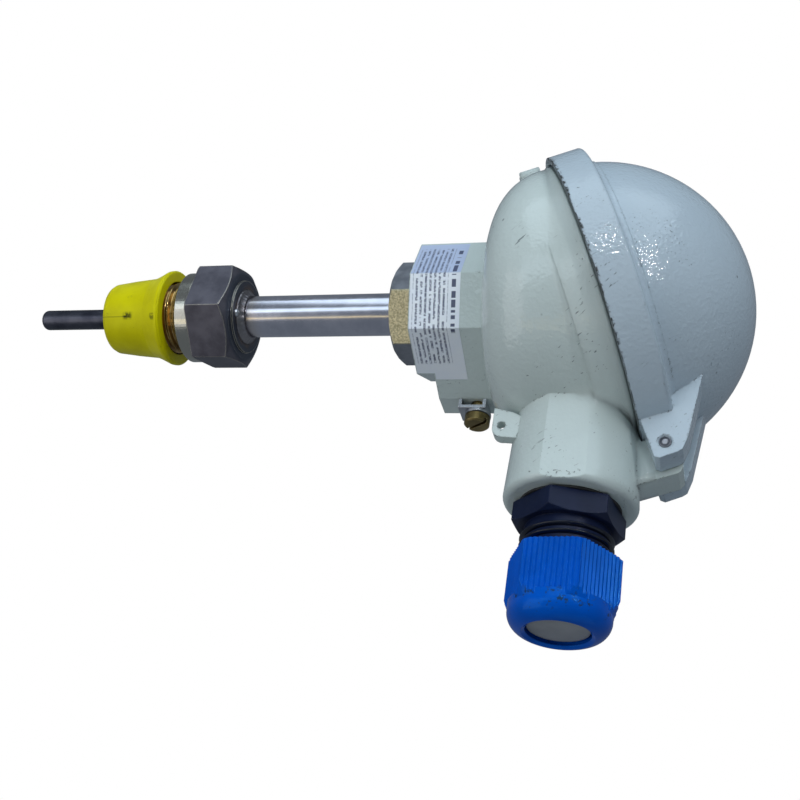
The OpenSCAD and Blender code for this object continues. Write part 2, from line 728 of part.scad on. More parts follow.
// One insulated lead: up from the insert's end, over in a quarter bend and into its clamp
module lead_wires() {
    start_r = rod_r / 2;
    low = rod_top + seat_gap - block_ledge - seat_gap;
    bend_z = 2.2 - wire_bend;
    color([0.85, 0.2, 0.15]) at_clamps(wire_angles, 0) {
        translate([start_r, 0, low]) cylinder(d = wire_d, h = bend_z - low);
        translate([start_r + wire_bend, 0, bend_z]) rotate([90, 0, 0]) rotate([0, 0, 90])
            rotate_extrude(angle = 90) translate([wire_bend, 0]) circle(d = wire_d);
        translate([start_r + wire_bend, 0, 2.2]) rotate([0, 90, 0])
            cylinder(d = wire_d, h = clamp_ring_r - clamp_l / 3 - start_r - wire_bend);
    }
}

module insert_screws() {
    color(bright_steel) for (side = [-1, 1])
        translate([0, side * screw_pitch / 2, screw_head_z])
            slotted_screw(screw_r, screw_head_z - floor_z + mount_screw_in, mount_head_d / 2, mount_head_h, 1);
}

// Point on the wire of a spring: ring i of the coil, corner j of the wire
function coil_point(i, j, steps, sides, length) = let(
        a = 360 * spring_turns * i / steps,
        z = spring_wire / 2 + (length - spring_wire) * i / steps,
        r = spring_r + spring_wire / 2 * cos(360 * j / sides))
    [r * cos(a), r * sin(a), z + spring_wire / 2 * sin(360 * j / sides)];

module insert_springs() {
    sides = 5;
    steps = 10 * spring_turns;
    length = screw_head_z - spring_low - seat_gap;
    points = [for (i = [0:steps]) for (j = [0:sides - 1]) coil_point(i, j, steps, sides, length)];
    skin = [for (i = [0:steps - 1]) for (j = [0:sides - 1])
        [i * sides + j, i * sides + (j + 1) % sides, (i + 1) * sides + (j + 1) % sides, (i + 1) * sides + j]];
    ends = [[for (j = [0:sides - 1]) sides - 1 - j], [for (j = [0:sides - 1]) steps * sides + j]];
    color(steel) for (side = [-1, 1])
        translate([0, side * screw_pitch / 2, spring_low]) polyhedron(points, concat(skin, ends));
}

process_connection();
neck_tube();
lock_nut();
head_base();
cover_gasket();
hinge_pin();
head_cover();
closing_screw();
gland_gasket();
gland_body();
gland_seal();
blanking_plug();
gland_nut();
earth_clip();
earth_washer();
earth_screw();
thread_cap();
insert_rod();
insert_plate();
terminal_block();
terminal_clamps();
terminal_screws();
lead_wires();
insert_screws();
insert_springs();
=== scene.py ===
"""Resistance thermometer with a connection head: finishes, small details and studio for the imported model."""
import json
import math

import bmesh
import bpy
from mathutils import Matrix, Vector


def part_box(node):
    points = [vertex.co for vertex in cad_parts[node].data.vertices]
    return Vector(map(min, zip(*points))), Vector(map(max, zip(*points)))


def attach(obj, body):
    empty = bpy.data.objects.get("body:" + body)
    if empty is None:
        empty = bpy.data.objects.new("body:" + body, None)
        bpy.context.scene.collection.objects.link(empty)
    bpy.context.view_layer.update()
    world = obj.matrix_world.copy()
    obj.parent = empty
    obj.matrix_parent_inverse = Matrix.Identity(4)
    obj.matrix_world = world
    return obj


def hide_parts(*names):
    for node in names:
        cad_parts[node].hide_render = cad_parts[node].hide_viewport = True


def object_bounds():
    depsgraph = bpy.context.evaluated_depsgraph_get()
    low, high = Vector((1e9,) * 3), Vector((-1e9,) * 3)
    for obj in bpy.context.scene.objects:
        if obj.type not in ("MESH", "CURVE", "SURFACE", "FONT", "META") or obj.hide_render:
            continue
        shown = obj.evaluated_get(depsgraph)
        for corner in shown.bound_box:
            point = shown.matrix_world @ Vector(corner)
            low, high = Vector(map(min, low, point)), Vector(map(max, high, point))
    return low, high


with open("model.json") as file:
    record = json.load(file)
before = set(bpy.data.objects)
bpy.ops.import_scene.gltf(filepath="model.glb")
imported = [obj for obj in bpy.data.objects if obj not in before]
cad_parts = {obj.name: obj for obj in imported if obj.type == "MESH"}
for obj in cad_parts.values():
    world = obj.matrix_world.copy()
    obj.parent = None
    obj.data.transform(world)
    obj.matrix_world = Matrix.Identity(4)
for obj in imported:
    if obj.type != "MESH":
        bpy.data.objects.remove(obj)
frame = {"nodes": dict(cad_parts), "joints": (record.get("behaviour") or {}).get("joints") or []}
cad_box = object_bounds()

MM = 0.001
X, Z = 0, 2
parts = frame["nodes"]
joint_of = {joint["name"]: joint for joint in frame["joints"]}


# ---------------------------------------------------------------- sizes and places, in millimetres
def low_end(node, axis):
    """Where a node's box begins along an axis."""
    return round(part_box(node)[0][axis] / MM, 3)


def high_end(node, axis):
    """Where a node's box ends along an axis."""
    return round(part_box(node)[1][axis] / MM, 3)


SUNK = 0.05                     # how far a small piece reaches into the solid that carries it

DISC_TOP = high_end("process_connection", Z)
HEXAGON_TOP = DISC_TOP - 0.6
SEAL_TOP = 4.4
THREAD_FOOT = low_end("process_connection", Z)
THREAD_RADIUS = 10.45
THREAD_ROOT = 9.45
THREAD_PITCH = 1.814
TUBE_RADIUS = 6.0
WELD_HEIGHT = DISC_TOP + 0.2

LOCK_NUT_APOTHEM = 12.5
# the lock nut's flat that faces the camera, painted brassy as a warm reflection
BRIGHT_FLAT = math.radians(40)

CAP_MOUTH = high_end("thread_cap", Z)
SMUDGE_HEIGHT = CAP_MOUTH - 10.9
SMUDGE_TURN = math.radians(-58)
LIP_SMUDGE_TURN = math.radians(-56)

ENTRY_END = high_end("head_base", X)
GLAND_HEIGHT = joint_of["gland_nut_turn"]["pos_m"][Z] / MM
GLAND_NUT_START = low_end("gland_nut", X)
NUT_SHOULDER = GLAND_NUT_START + 14.3

COLLAR_FOOT = low_end("head_base", Z)
COLLAR_APOTHEM = 18.0
COLLAR_SIDE = 2 * COLLAR_APOTHEM * math.tan(math.radians(22.5))
COLLAR_TURN = 26                # degrees from the front to the middle flat of the label
LABEL_ROW = 1.25
LABEL_SHADED = 14.25            # length of the label's first flat, which turns away from the light and is painted in shade

HINGE_REACH = 50                # from the cover's own axis to the hinge pin
HINGE_RISE = 4.25               # from the rim up to the hinge pin
BAND_RADIUS = 43.7

# The tilted cover's own frame: unit axes, and its places in metres.
hinge_place = Vector(joint_of["cover_hinge"]["pos_m"])
cover_up = Vector(joint_of["closing_screw_turn"]["axis"])
cover_out = Vector((cover_up.z, 0, -cover_up.x))
cover_tilt = math.atan2(-cover_up.x, cover_up.z)
rim_centre = hinge_place - cover_out * HINGE_REACH * MM - cover_up * HINGE_RISE * MM


# ---------------------------------------------------------------- shader maths
class Wire:
    """A value that varies over a surface. Arithmetic on it adds Math nodes."""

    def __init__(self, tree, socket):
        self.tree = tree
        self.socket = socket

    def math(self, operation, *values, clamp=False):
        return self.tree.node("ShaderNodeMath", {"operation": operation, "use_clamp": clamp}, values)

    def __add__(self, other):
        return self.math("ADD", self, other)

    def __radd__(self, other):
        return self.math("ADD", other, self)

    def __sub__(self, other):
        return self.math("SUBTRACT", self, other)

    def __rsub__(self, other):
        return self.math("SUBTRACT", other, self)

    def __mul__(self, other):
        return self.math("MULTIPLY", self, other)

    def __rmul__(self, other):
        return self.math("MULTIPLY", other, self)

    def __truediv__(self, other):
        return self.math("DIVIDE", self, other)

    def __pow__(self, other):
        return self.math("POWER", self, other)

    def __abs__(self):
        return self.math("ABSOLUTE", self)

    def sine(self):
        return self.math("SINE", self)

    def whole(self):
        return self.math("FLOOR", self)

    def clamped(self):
        return self.math("ADD", self, 0.0, clamp=True)

    def step(self, low, high):
        """0 below low, 1 above high, smooth between them; reversed when low is above high."""
        return self.tree.node("ShaderNodeMapRange", {"interpolation_type": "SMOOTHSTEP"},
                              (self, low, high, 0.0, 1.0) if low < high else (self, high, low, 1.0, 0.0))

    def near(self, centre, outer, inner):
        """1 within the inner distance of a value, 0 past the outer one."""
        return abs(self - centre).step(outer, inner)


class Tree:
    """A node tree of its own, whose nodes all come from one method."""

    def __init__(self, owner):
        owner.use_nodes = True
        self.tree = owner.node_tree
        self.tree.nodes.clear()

    def node(self, kind, settings=None, values=(), output=0):
        """Any node: its settings first, then the values or links of its sockets, by order or by name."""
        made = self.tree.nodes.new(kind)
        for name, value in (settings or {}).items():
            setattr(made, name, value)
        pairs = values.items() if isinstance(values, dict) else enumerate(values)
        for key, value in pairs:
            if isinstance(value, Wire):
                self.tree.links.new(value.socket, made.inputs[key])
            elif value is not None:
                made.inputs[key].default_value = value
        return Wire(self, made.outputs[output]) if made.outputs else None


class Finish(Tree):
    """A material around one Principled shader, with the few patterns that the finishes of this probe need."""

    def __init__(self, name, **constants):
        self.material = bpy.data.materials.new(name)
        super().__init__(self.material)
        surface = self.node("ShaderNodeBsdfPrincipled", {},
                            {socket.replace("_", " "): value for socket, value in constants.items()})
        self.node("ShaderNodeOutputMaterial", {}, {"Surface": surface})
        self.shader = surface.socket.node
        self.place = self.node("ShaderNodeTexCoord", output="Object")

    def set(self, socket, value):
        self.tree.links.new(value.socket, self.shader.inputs[socket])

    def laid(self, colour, roughness, normal):
        """The material, once its varying sockets are wired."""
        self.set("Base Color", colour)
        self.set("Roughness", roughness)
        self.set("Normal", normal)
        return self.material

    def moved(self, location=(0, 0, 0), rotation=(0, 0, 0), scale=(1, 1, 1)):
        """Object coordinates seen from another centre, turned or stretched."""
        return self.node("ShaderNodeMapping", {"vector_type": "TEXTURE"},
                         {"Vector": self.place, "Location": location, "Rotation": rotation, "Scale": scale})

    def axes(self, place=None, scale=1 / MM):
        """The three coordinates of a place, each as a number, in millimetres when the place is in metres."""
        sized = self.node("ShaderNodeVectorMath", {"operation": "SCALE"},
                          {"Vector": place or self.place, "Scale": scale})
        split = self.node("ShaderNodeSeparateXYZ", {}, (sized,))
        return [Wire(self, socket) for socket in split.socket.node.outputs]

    def noise(self, size_mm, detail=2.0, rough=0.5, place=None):
        return self.node("ShaderNodeTexNoise", {}, {"Vector": place or self.place, "Scale": 1000 / size_mm,
                                                    "Detail": detail, "Roughness": rough})

    def cells(self, size_mm):
        """Distance to the nearest of scattered points."""
        return self.node("ShaderNodeTexVoronoi", {}, {"Vector": self.place, "Scale": 1000 / size_mm},
                         output="Distance")

    def mix(self, factor, first, second):
        """A mix of two colours, whose sockets are the node's seventh and eighth."""
        def colour(value):
            return value if isinstance(value, Wire) else (*value, 1.0)
        return self.node("ShaderNodeMix", {"data_type": "RGBA"},
                         {0: factor, 6: colour(first), 7: colour(second)}, 2)

    def clouded(self, cloud, first, second):
        """Two shades of one colour that drift into each other."""
        return self.mix(cloud.step(0.3, 0.7), first, second)

    def stained(self, base, mask, share, stain):
        """A colour with a share of another over it where the mask is 1."""
        return self.mix((mask * share).clamped(), base, stain)

    def bump(self, height, depth_mm, strength=1.0, normal=None):
        return self.node("ShaderNodeBump", {}, {"Height": height, "Distance": depth_mm * MM,
                                                "Strength": strength, "Normal": normal})

    def soft_edges(self, radius_mm, samples=4):
        """The surface's normal with its edges rounded, as casting, moulding and deburring leave them."""
        return self.node("ShaderNodeBevel", {"samples": samples}, {"Radius": radius_mm * MM})

    def edge_turn(self, radius_mm):
        """0 on open faces and more on edges: 1 less the cosine of the turn that rounding gives the normal."""
        true = self.node("ShaderNodeNewGeometry", output="Normal")
        return 1.0 - self.node("ShaderNodeVectorMath", {"operation": "DOT_PRODUCT"},
                               (self.soft_edges(radius_mm), true), "Value")

    def edge_wear(self, radius_mm):
        """1 on outer and inner edges, 0 on open faces."""
        return self.edge_turn(radius_mm).step(0.02, 0.2)


def scaled(colour, share, lift=0.0):
    """A colour made darker or lighter, with no channel above 1."""
    return tuple(min(1.0, channel * share + lift) for channel in colour)


# ---------------------------------------------------------------- finishes
def painted_casting(name, colour, shade, part):
    """Glossy stove enamel on a die casting: orange peel, chipped edges, dirt and short scratches, with a
    painted shadow along the joint under the cover's band.
    """
    # The first colour is bare metal in the chips and also the painted shadow along the joint under the band.
    bare, grime, scored = (0.045, 0.048, 0.05), (0.14, 0.15, 0.15), (0.13, 0.15, 0.16)
    coat = Finish(name, Specular_IOR_Level=0.5)
    out, side, above_rim = coat.axes(coat.moved(location=tuple(rim_centre), rotation=(0, -cover_tilt, 0)))
    radius = (out * out + side * side) ** 0.5
    mottle = coat.noise(30, 3)
    specks = coat.noise(0.8, 4, 0.7).step(0.53, 0.58)
    patches = coat.noise(5.0, 4, 0.65).step(0.47, 0.55)
    small_patches = coat.noise(4.0, 4, 0.7).step(0.53, 0.58)
    blunt_edge = coat.edge_turn(0.9).step(0.012, 0.05)
    chips = (coat.edge_wear(0.45) * specks * patches + blunt_edge * specks * small_patches).clamped()
    along = coat.moved(rotation=(0.3, 0.9, 0.5), scale=(5, 0.45, 0.45))
    scratches = coat.noise(1.1, 2, 0.6, along).step(0.665, 0.70) * coat.noise(14, 2).step(0.52, 0.58)
    dirt = coat.cells(7).step(0.075, 0.04) * coat.noise(22, 2).step(0.50, 0.58)
    at_band = radius.step(BAND_RADIUS - 4.5, BAND_RADIUS - 3.5)
    at_band = at_band * radius.step(BAND_RADIUS + 0.8, BAND_RADIUS + 0.3)
    normal = coat.soft_edges(0.5)
    if part == "cover":
        # Painted shadow: a broken dark line along the band's lower edge stands in for the shade of the gap
        # under the band.
        joint_line = at_band * above_rim.step(0.20, 0.08) * coat.noise(3.0, 4, 0.7).step(0.42, 0.50)
        rubbed = at_band * above_rim.step(0.75, 0.3) * coat.noise(1.5, 4, 0.7).step(0.53, 0.57)
        rubbed = rubbed * (0.8 * side + 0.6 * out).step(4, -12)
        chips = (chips + rubbed + 0.8 * joint_line).clamped()
        peel_depth = 0.15
    else:
        # Painted shadow: the bowl just under the band is darkened where the gap's shade falls.
        gap = at_band * above_rim.step(-0.4, -0.05)
        reach = coat.axes()[X]
        scuff = reach.near(ENTRY_END - 1.9, 0.9, 0.4) * coat.noise(1.2, 4, 0.7).step(0.58, 0.62)
        scuff = scuff * coat.noise(7, 2).step(0.51, 0.57)
        ledge = radius.step(30, 33) * above_rim.step(-15, -11) * above_rim.step(0.2, -0.3)
        kept = 1 - ledge * radius.step(BAND_RADIUS + 0.9, BAND_RADIUS + 0.5)
        chips = (chips * kept + 0.8 * scuff + 0.6 * gap).clamped()
        normal = coat.node("ShaderNodeMix", {"data_type": "VECTOR"},
                           {0: ledge, 4: normal, 5: coat.soft_edges(5.0, samples=12)}, 1)
        peel_depth = 0.10
    base = coat.clouded(mottle, colour, shade)
    base = coat.mix(coat.noise(3.5, 3).step(0.35, 0.8) * 0.2, base, scaled(shade, 0.9))
    base = coat.stained(base, dirt, 0.6, grime)
    base = coat.stained(base, scratches, 0.75, scored)
    # The chip colour also paints the shadow of the gap under the band.
    base = coat.mix(chips, base, bare)
    peel = 0.5 * coat.noise(2.8, 2, 0.5) + 0.9 * coat.noise(1.0, 1, 0.5)
    relief = peel - 1.5 * chips - 0.6 * scratches
    return coat.laid(base, 0.035 + 0.06 * mottle + 0.45 * chips, coat.bump(relief, peel_depth, 1.0, normal))


def turned_steel(name, dark, light, rough, brushed=(1, 1, 0.06)):
    """Machined metal: fine tool marks, cloudy tarnish and bright worn edges."""
    edge_radius = 0.25
    metal = Finish(name, Metallic=1.0)
    marks = metal.noise(0.9, 4, 0.6, metal.moved(scale=brushed))
    cloud = metal.noise(7, 4, 0.6)
    base = metal.clouded(cloud, dark, light)
    base = metal.mix(metal.edge_wear(edge_radius) * 0.6, base, scaled(light, 1.35, 0.1))
    return metal.laid(base, rough + 0.18 * cloud - 0.06 + 0.1 * marks,
                      metal.bump(marks, 0.012, 0.6, metal.soft_edges(edge_radius)))


def stained_hexagon(name):
    """Process connection: dark hexagon with turned rings and heat tint, bright collar, brown thread, and gold
    edges painted for wear and as a highlight.
    """
    pickled, pickled_light, end_blue = (0.115, 0.108, 0.13), (0.185, 0.175, 0.205), (0.095, 0.105, 0.135)
    burnt, bright, worn = (0.22, 0.15, 0.11), (0.50, 0.48, 0.42), (0.80, 0.74, 0.60)
    greased, greased_dark = (0.50, 0.33, 0.13), (0.24, 0.15, 0.06)
    metal = Finish(name, Metallic=1.0)
    x, y, height = metal.axes()
    radius = (x * x + y * y) ** 0.5
    cloud = metal.noise(6, 4, 0.6)
    fine = metal.noise(0.7, 3, 0.7)
    edge = metal.edge_wear(0.5)
    end_face = height.step(HEXAGON_TOP - 0.7, HEXAGON_TOP - 0.1)
    collar = height.step(SEAL_TOP + 0.05, SEAL_TOP - 0.05)
    thread = height.step(-0.02, -0.1)
    heat = radius.step(10.5, 7.2) * end_face
    rings = (radius * 7.0).sine()
    base = metal.clouded(cloud, pickled, pickled_light)
    base = metal.mix(end_face, base, end_blue)
    base = metal.stained(base, heat, cloud.step(0.35, 0.65), burnt)
    base = metal.mix(collar, base, bright)
    # The thread is painted brown, darker in clouds.
    base = metal.mix(thread, base, metal.mix(cloud.step(0.35, 0.65), greased, greased_dark))
    # Painted highlight: the edges are painted bright gold, for wear and for the gold highlight along the
    # hexagon's ridges.
    base = metal.stained(base, edge * (1 - thread), 0.75, worn)
    rough = (0.30 + 0.22 * cloud - 0.28 * collar + 0.12 * fine - 0.1 * edge).clamped()
    return metal.laid(base, rough,
                      metal.bump(0.5 * fine + 0.6 * rings * end_face, 0.02, 1.0, metal.soft_edges(0.3)))


def worn_lock_nut(name):
    """Lock nut: dark steel, with one rough brassy flat, the one that faces the camera, whose colour is a
    painted warm reflection.
    """
    metal = Finish(name, Metallic=1.0)
    x, y, _ = metal.axes()
    cloud = metal.noise(4, 4, 0.6)
    grain = metal.noise(0.55, 4, 0.75)
    towards_flat = x * math.sin(BRIGHT_FLAT) - y * math.cos(BRIGHT_FLAT)
    flat = towards_flat.step(LOCK_NUT_APOTHEM - 0.6, LOCK_NUT_APOTHEM - 0.2)
    base = metal.clouded(cloud, (0.26, 0.27, 0.30), (0.38, 0.39, 0.43))
    # Painted reflection: the flat that faces the camera is painted brassy and speckled, for the warm light it
    # reflects.
    cleaned = metal.mix(grain.step(0.35, 0.65), (0.44, 0.39, 0.24), (0.86, 0.78, 0.54))
    base = metal.mix(flat, base, cleaned)
    base = metal.stained(base, metal.edge_wear(0.3), 0.5, (0.62, 0.60, 0.52))
    return metal.laid(base, 0.34 + 0.14 * cloud + 0.06 * flat,
                      metal.bump(grain, 0.05, 0.35, metal.soft_edges(0.3)))


def drawn_tube(name):
    """Polished tube, with the brown and blue of the weld at its lower end."""
    metal = Finish(name, Metallic=1.0)
    _, _, height = metal.axes()
    cloud = metal.noise(8, 4, 0.6)
    drawn = metal.noise(0.5, 3, 0.6, metal.moved(scale=(1, 1, 30)))
    straw = height.step(WELD_HEIGHT + 7, WELD_HEIGHT + 1.5)
    violet = height.step(WELD_HEIGHT + 3.5, WELD_HEIGHT + 0.5)
    base = metal.clouded(cloud, (0.60, 0.60, 0.68), (0.72, 0.71, 0.79))
    base = metal.stained(base, straw, 0.6, (0.55, 0.46, 0.36))
    base = metal.stained(base, violet, 0.7, (0.20, 0.20, 0.30))
    return metal.laid(base, 0.13 + 0.08 * cloud + 0.06 * drawn, metal.bump(drawn, 0.006, 0.6))


def moulded_plastic(name, colour, shade, rough, shine=0.5, scuffed=0.35):
    """Moulded plastic: a fine grain, slight clouds and whitened edges."""
    edge_radius = 0.3
    plastic = Finish(name, Specular_IOR_Level=shine)
    cloud = plastic.noise(9, 3)
    grain = plastic.noise(0.5, 2)
    scuff = plastic.edge_wear(edge_radius) * plastic.noise(2.5, 4, 0.7).step(0.5, 0.62)
    base = plastic.clouded(cloud, colour, shade)
    base = plastic.stained(base, scuff, scuffed, scaled(colour, 0.6, 0.35))
    return plastic.laid(base, rough + 0.12 * cloud + 0.2 * scuff,
                        plastic.bump(grain, 0.02, 0.5, plastic.soft_edges(edge_radius)))


def peened_pin(name):
    """Hinge pin: dull steel with a dark ring pressed into its end; the ring's dark colour is painted shade."""
    metal = Finish(name, Metallic=1.0)
    x, _, z = metal.axes(metal.moved(location=tuple(hinge_place)))
    radius = (x * x + z * z) ** 0.5
    cloud = metal.noise(1.2, 3, 0.6)
    groove = radius.near(1.0, 0.34, 0.16)
    base = metal.clouded(cloud, (0.20, 0.20, 0.22), (0.34, 0.34, 0.37))
    # Painted shade: the ring is only a bump, and its near-black colour stands in for the shade in its groove.
    base = metal.stained(base, groove, 0.85, (0.035, 0.04, 0.05))
    return metal.laid(base, 0.34 + 0.15 * cloud,
                      metal.bump(cloud - 2.0 * groove, 0.06, 1.0, metal.soft_edges(0.25)))


def scuffed_blue(name):
    """Gland nut: saturated blue, with dark nicks on the dome's shoulder and rubbed ribs."""
    plastic = Finish(name, Specular_IOR_Level=0.36, Specular_Tint=(0.12, 0.55, 1.0, 1))
    reach, _, _ = plastic.axes()
    cloud = plastic.noise(9, 3)
    nick = plastic.noise(1.8, 4, 0.7).step(0.57, 0.62) * plastic.noise(9, 2).step(0.48, 0.55)
    nick = nick * reach.step(NUT_SHOULDER - 3, NUT_SHOULDER)
    nick = nick * reach.step(NUT_SHOULDER + 4.5, NUT_SHOULDER + 2.5)
    rub = plastic.edge_wear(0.2) * plastic.noise(2, 3, 0.6).step(0.5, 0.65)
    base = plastic.clouded(cloud, (0.0002, 0.084, 0.51), (0.0004, 0.100, 0.60))
    base = plastic.stained(base, rub, 0.25, (0.10, 0.34, 0.75))
    base = plastic.stained(base, nick, 0.85, (0.012, 0.028, 0.035))
    return plastic.laid(base, 0.12 + 0.10 * cloud + 0.3 * nick,
                        plastic.bump(plastic.noise(1.6, 2) - nick, 0.05, 0.6, plastic.soft_edges(0.25)))


def smudged_cap(name):
    """Thread protector: soft fluorescent yellow-green, with black smudges."""
    plastic = Finish(name, Specular_IOR_Level=0.3, Specular_Tint=(1.0, 0.95, 0.25, 1))
    x, y, height = plastic.axes()
    turn = y.math("ARCTAN2", y, x)
    cloud = plastic.noise(8, 3)
    flattened = plastic.moved(scale=(1, 1, 2.2))
    smudges = plastic.noise(3.2, 5, 0.75, flattened).step(0.60, 0.70) * plastic.noise(11, 2).step(0.50, 0.60)
    specks = plastic.noise(0.9, 3, 0.7).step(0.68, 0.72) * plastic.noise(7, 2).step(0.48, 0.58)
    streak = turn.near(SMUDGE_TURN, 0.13, 0.03) * height.near(SMUDGE_HEIGHT, 2.0, 0.7)
    streak = streak * plastic.noise(1.2, 4, 0.7).step(0.36, 0.52)
    tail = turn.near(SMUDGE_TURN + 0.02, 0.02, 0.008) * height.step(SMUDGE_HEIGHT + 1, SMUDGE_HEIGHT - 1)
    lip = turn.near(LIP_SMUDGE_TURN, 0.10, 0.03) * height.near(CAP_MOUTH - 2.0, 1.1, 0.5)
    lip = lip * plastic.noise(1.0, 3, 0.7).step(0.38, 0.48)
    dirt = (0.35 * smudges + 0.5 * specks + 0.9 * streak + 0.4 * tail + 0.7 * lip).clamped()
    base = plastic.clouded(cloud, (0.76, 0.70, 0.002), (0.64, 0.58, 0.001))
    base = plastic.mix(dirt, base, (0.035, 0.04, 0.006))
    relief = plastic.noise(1.4, 3) + 0.3 * plastic.noise(0.5, 2)
    return plastic.laid(base, 0.32 + 0.14 * cloud + 0.2 * dirt,
                        plastic.bump(relief, 0.05, 0.6, plastic.soft_edges(0.5)))


def printed_foil(name):
    """Silver-white label: rows of fine dark strokes and a heavier row stand for print. It has no words."""
    foil = Finish(name, Specular_IOR_Level=0.5)
    around, up, _ = foil.axes(foil.node("ShaderNodeUVMap", {"uv_map": "wrap"}), scale=1)

    def marks(across, along, detail):
        seat = foil.node("ShaderNodeCombineXYZ", {}, (across, along, 0.0))
        return foil.node("ShaderNodeTexNoise", {}, {"Vector": seat, "Scale": 1.0, "Detail": detail})

    row = up / LABEL_ROW
    number = row.whole()
    in_row = (row - number).step(0.22, 0.30) * (row - number).step(0.78, 0.70)
    words = marks(around * 0.55, number * 7.31, 2.0).step(0.40, 0.43)
    strokes = marks(around * 3.1, up * 2.2, 1.0).step(0.38, 0.50)
    printed = in_row * words * strokes * up.step(0.6, 1.0) * up.step(10.6, 10.3)
    printed = printed * around.step(2.0, 2.6) * around.step(41, 40)
    heading = up.near(12.0, 0.62, 0.52) * marks(around * 0.9, 3.3, 0.0).step(0.50, 0.52)
    heading = heading * around.step(2.0, 2.4) * around.step(31, 30)
    ink = (0.86 * printed + 0.92 * heading).clamped()
    sheen = foil.noise(5, 3)
    base = foil.clouded(sheen, (0.87, 0.92, 1.0), (0.91, 0.95, 1.0))
    # Painted shade: the first flat, which turns away from the light, is painted darker and bluer.
    base = foil.mix(around.step(LABEL_SHADED + 0.15, LABEL_SHADED - 0.15), base, (0.50, 0.58, 0.77))
    base = foil.mix(ink, base, (0.03, 0.04, 0.11))
    foil.set("Metallic", 0.12 * (1 - ink))
    return foil.laid(base, 0.34 + 0.1 * sheen, foil.bump(foil.noise(2.2, 2), 0.02, 0.5))


paint = painted_casting("paint", (0.575, 0.655, 0.635), (0.62, 0.70, 0.68), "base")
cover_paint = painted_casting("cover_paint", (0.485, 0.575, 0.645), (0.52, 0.61, 0.68), "cover")
hexagon_steel = stained_hexagon("hexagon_steel")
nut_steel = worn_lock_nut("nut_steel")
tube_steel = drawn_tube("tube_steel")
weld_steel = turned_steel("weld_steel", (0.12, 0.11, 0.12), (0.34, 0.32, 0.33), 0.24)
rod_steel = turned_steel("rod_steel", (0.055, 0.057, 0.078), (0.11, 0.112, 0.14), 0.30, brushed=(1, 1, 6))
pin_steel = peened_pin("pin_steel")
plate_steel = turned_steel("plate_steel", (0.50, 0.51, 0.54), (0.66, 0.67, 0.70), 0.25)
spring_steel = turned_steel("spring_steel", (0.45, 0.45, 0.46), (0.60, 0.60, 0.61), 0.28)
brass = turned_steel("brass", (0.20, 0.15, 0.06), (0.40, 0.31, 0.14), 0.30)
terminal_brass = turned_steel("terminal_brass", (0.50, 0.36, 0.14), (0.66, 0.50, 0.22), 0.26)
navy = moulded_plastic("navy_plastic", (0.006, 0.011, 0.036), (0.010, 0.017, 0.052), 0.24,
                       shine=0.14, scuffed=0.10)
# Painted shade: the gland's thread is the same navy plastic as its body, painted near black for the shade
# between its ridges.
navy_thread = moulded_plastic("navy_thread", (0.002, 0.004, 0.012), (0.004, 0.007, 0.02), 0.12,
                              shine=0.45, scuffed=0.05)
blue = scuffed_blue("blue_plastic")
yellow = smudged_cap("yellow_plastic")
grey_plastic = moulded_plastic("grey_plastic", (0.26, 0.27, 0.29), (0.34, 0.35, 0.37), 0.40)
rubber = moulded_plastic("rubber", (0.018, 0.018, 0.018), (0.030, 0.030, 0.030), 0.62)
ceramic = moulded_plastic("ceramic", (0.72, 0.68, 0.58), (0.78, 0.75, 0.66), 0.5)
red_lead = moulded_plastic("red_lead", (0.52, 0.03, 0.02), (0.60, 0.05, 0.03), 0.42)
label_foil = printed_foil("label_foil")

FINISH_OF = {
    "process_connection": hexagon_steel, "neck_tube": tube_steel, "lock_nut": nut_steel, "head_base": paint,
    "cover_gasket": rubber, "hinge_pin": pin_steel, "head_cover": cover_paint, "closing_screw": plate_steel,
    "gland_gasket": rubber, "gland_body": navy, "gland_seal": rubber, "blanking_plug": grey_plastic,
    "gland_nut": blue, "earth_clip": plate_steel, "earth_washer": plate_steel, "earth_screw": brass,
    "thread_cap": yellow, "insert_rod": rod_steel, "insert_plate": plate_steel, "terminal_block": ceramic,
    "terminal_clamps": terminal_brass, "terminal_screws": plate_steel, "lead_wires": red_lead,
    "insert_screws": plate_steel, "insert_springs": spring_steel,
}
for node, finish in FINISH_OF.items():
    parts[node].data.materials.clear()
    parts[node].data.materials.append(finish)


# ---------------------------------------------------------------- small pieces
SAME_POINT = 1e-4               # corners that are nearer to each other than this are one


def finished(name, form, finish, body, smooth=True):
    """Turns a bmesh in the probe's frame, in millimetres, into a piece that rides on a body."""
    bmesh.ops.remove_doubles(form, verts=form.verts, dist=SAME_POINT)
    bmesh.ops.recalc_face_normals(form, faces=form.faces)
    bmesh.ops.scale(form, vec=(MM, MM, MM), verts=form.verts)
    mesh = bpy.data.meshes.new(name)
    form.to_mesh(mesh)
    form.free()
    for face in mesh.polygons:
        face.use_smooth = smooth
    piece = bpy.data.objects.new(name, mesh)
    bpy.context.scene.collection.objects.link(piece)
    mesh.materials.append(finish)
    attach(piece, body)
    return piece


def closed_outline(form, section):
    """Corners and edges of a closed outline, given as (radius, height) pairs."""
    points = [form.verts.new((radius, 0, height)) for radius, height in section]
    edges = [form.edges.new(ends) for ends in zip(points, points[1:] + points[:1])]
    return points, edges


def squeezed(vert, share):
    """Moves a corner towards the probe's axis, or away from it."""
    vert.co.x *= share
    vert.co.y *= share


